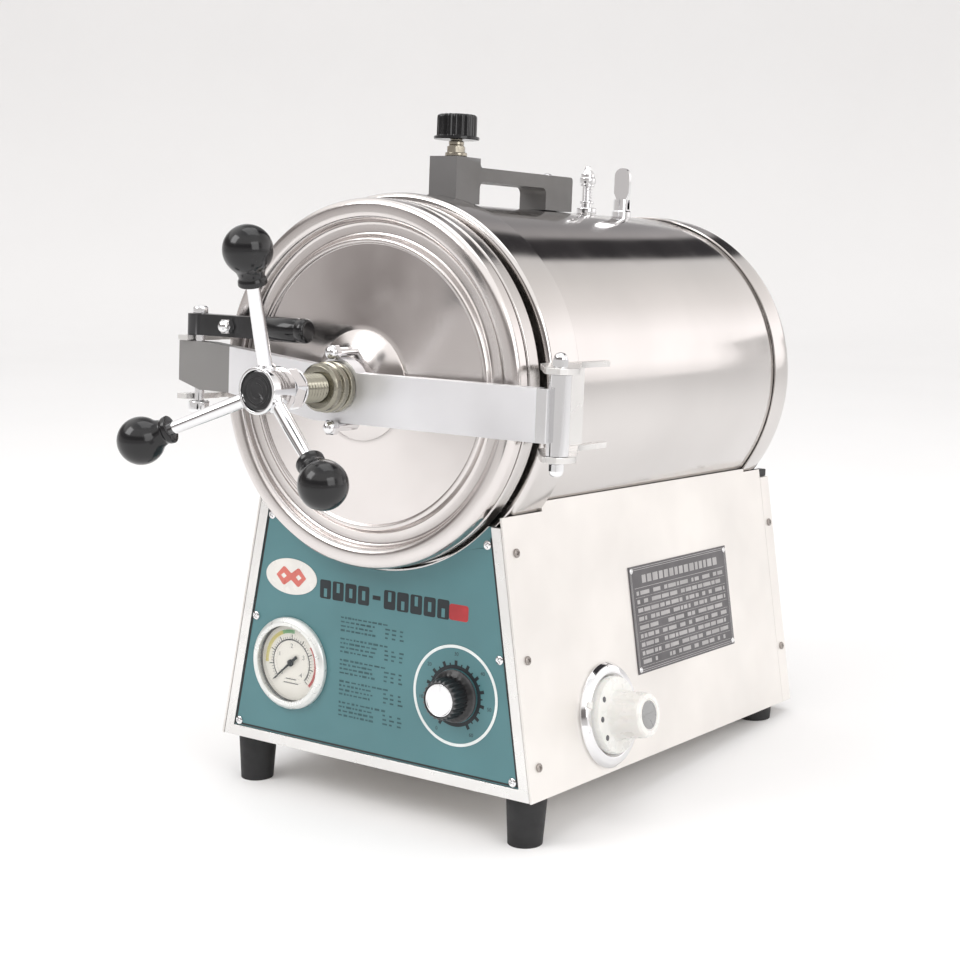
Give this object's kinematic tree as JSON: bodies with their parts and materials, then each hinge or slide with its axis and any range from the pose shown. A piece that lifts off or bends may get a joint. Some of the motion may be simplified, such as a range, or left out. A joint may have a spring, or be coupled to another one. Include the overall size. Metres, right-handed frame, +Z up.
{
  "type": "benchtop autoclave",
  "caption": "Benchtop steam autoclave: polished drum on a tapered steel cabinet, round door clamped by a hand wheel on a hinged arm, with gauge, timer, thermostat dial and carrying handle.",
  "frame": {"origin": "centre of the bounding box at the surface the feet stand on", "axes": "+X to the user's right, +Y from the door towards the back, +Z up; the cabinet itself leans back by the difference between its front and rear feet"},
  "size_m": [0.322, 0.5705, 0.4956],
  "materials": {
    "polished_steel": "mirror polished",
    "brushed_steel": "satin",
    "chrome": "polished",
    "teal_paint": "semi-gloss printed film",
    "black_plastic": "gloss",
    "black_paint": "semi-gloss",
    "grey_paint": "satin",
    "black_rubber": "matte",
    "clear_rubber": "matte",
    "brass": "satin",
    "white_print": "satin",
    "white_plastic": "gloss",
    "black_metal": "satin",
    "gauge_glass": "clear",
    "wool": "matte",
    "heater_sheath": "oxidised",
    "printed_plate": "satin, printed"
  },
  "bodies": {
    "cabinet": {"base_pan": "brushed_steel", "side_panel_left": "brushed_steel", "side_panel_right": "brushed_steel", "front_frame": "brushed_steel", "control_panel": "teal_paint", "panel_screws": "chrome", "side_screws": "chrome", "rear_cover": "brushed_steel", "cradle_pads": "black_rubber", "power_inlet": "black_plastic", "front_feet": "black_rubber", "rear_feet": "black_rubber", "casing": "polished_steel", "front_ring": "polished_steel", "rear_cap": "polished_steel", "vessel": "polished_steel", "insulation": "wool", "tray_rack": "brushed_steel", "instrument_trays": "brushed_steel", "heater": "heater_sheath", "gauge_case": "black_metal", "gauge_bezel": "chrome", "gauge_glass": "gauge_glass", "gauge_dial": "white_print", "timer_scale": "white_print", "timer_body": "black_plastic", "thermostat_bezel": "chrome", "thermostat_body": "black_plastic", "rating_plate": "printed_plate", "handle": "grey_paint", "exhaust_stem": "brass", "safety_valve_body": "brass", "vent_valve_body": "brass", "vent_pin": "chrome", "hinge_bracket": "brushed_steel", "hinge_pin": "chrome", "hinge_nuts": "chrome", "latch_keeper": "brushed_steel"},
    "gauge_needle": {"gauge_needle": "black_metal"},
    "timer_knob": {"timer_knob": "black_plastic"},
    "thermostat_dial": {"thermostat_dial": "white_plastic"},
    "exhaust_knob": {"exhaust_knob": "black_plastic"},
    "safety_valve_cap": {"safety_valve_cap": "brass"},
    "vent_lever": {"vent_lever": "chrome"},
    "arm": {"arm": "brushed_steel", "screw_bush": "chrome", "latch_pin": "chrome"},
    "latch": {"latch_lever": "black_paint", "latch_grip": "black_plastic", "latch_nut": "chrome"},
    "door": {"door": "polished_steel", "door_gasket": "clear_rubber", "door_boss": "polished_steel", "door_studs": "chrome", "stud_nuts": "chrome"},
    "wheel": {"spindle": "chrome", "wheel_hub": "chrome", "hub_cap": "black_plastic", "wheel_rods": "chrome", "ball_knobs": "black_plastic"}
  },
  "joints": [
    {"name": "arm_swing", "type": "hinge", "parent": "cabinet", "child": "arm", "pos_m": [0.152, -0.15252, 0.30409], "axis": [0, 0.0654, 0.9979], "range_deg": [0, 115]},
    {"name": "door_press", "type": "slide", "parent": "arm", "child": "door", "axis": [0, -0.9979, 0.0654], "range_m": [0, 0.003]},
    {"name": "wheel_spin", "type": "hinge", "parent": "door", "child": "wheel", "pos_m": [-0.016, -0.24785, 0.31735], "axis": [0, -0.9979, 0.0654], "range_deg": [0, 270]},
    {"name": "latch_turn", "type": "hinge", "parent": "arm", "child": "latch", "pos_m": [-0.146, -0.16113, 0.31788], "axis": [0, -0.0654, -0.9979], "range_deg": [0, 50]},
    {"name": "timer_turn", "type": "hinge", "parent": "cabinet", "child": "timer_knob", "pos_m": [0.057, -0.13284, 0.09966], "axis": [0, 0.9979, -0.0654], "range_deg": [0, 300]},
    {"name": "thermostat_turn", "type": "hinge", "parent": "cabinet", "child": "thermostat_dial", "pos_m": [0.11645, -0.02658, 0.06954], "axis": [-0.9851, -0.0113, -0.1717], "range_deg": [0, 270]},
    {"name": "exhaust_turn", "type": "hinge", "parent": "cabinet", "child": "exhaust_knob", "pos_m": [-0.016, -0.02545, 0.48446], "axis": [0, 0.0654, 0.9979], "range_deg": [0, 270]},
    {"name": "safety_lift", "type": "slide", "parent": "cabinet", "child": "safety_valve_cap", "axis": [0, 0.0654, 0.9979], "range_m": [0, 0.003], "stiffness_N_per_m": 500, "springref_m": -0.002},
    {"name": "vent_tilt", "type": "hinge", "parent": "cabinet", "child": "vent_lever", "pos_m": [-0.016, 0.21126, 0.42636], "axis": [0, 0.9979, -0.0654], "range_deg": [0, 60]},
    {"name": "needle_turn", "type": "hinge", "parent": "cabinet", "child": "gauge_needle", "pos_m": [-0.0905, -0.13285, 0.09956], "axis": [0, 0.9979, -0.0654], "range_deg": [0, 264], "stiffness_Nm_per_rad": 0.001}
  ],
  "couplings": [
    {"joint": "door_press", "follows": "wheel_spin", "m_per_rad": 0.0006366}
  ]
}
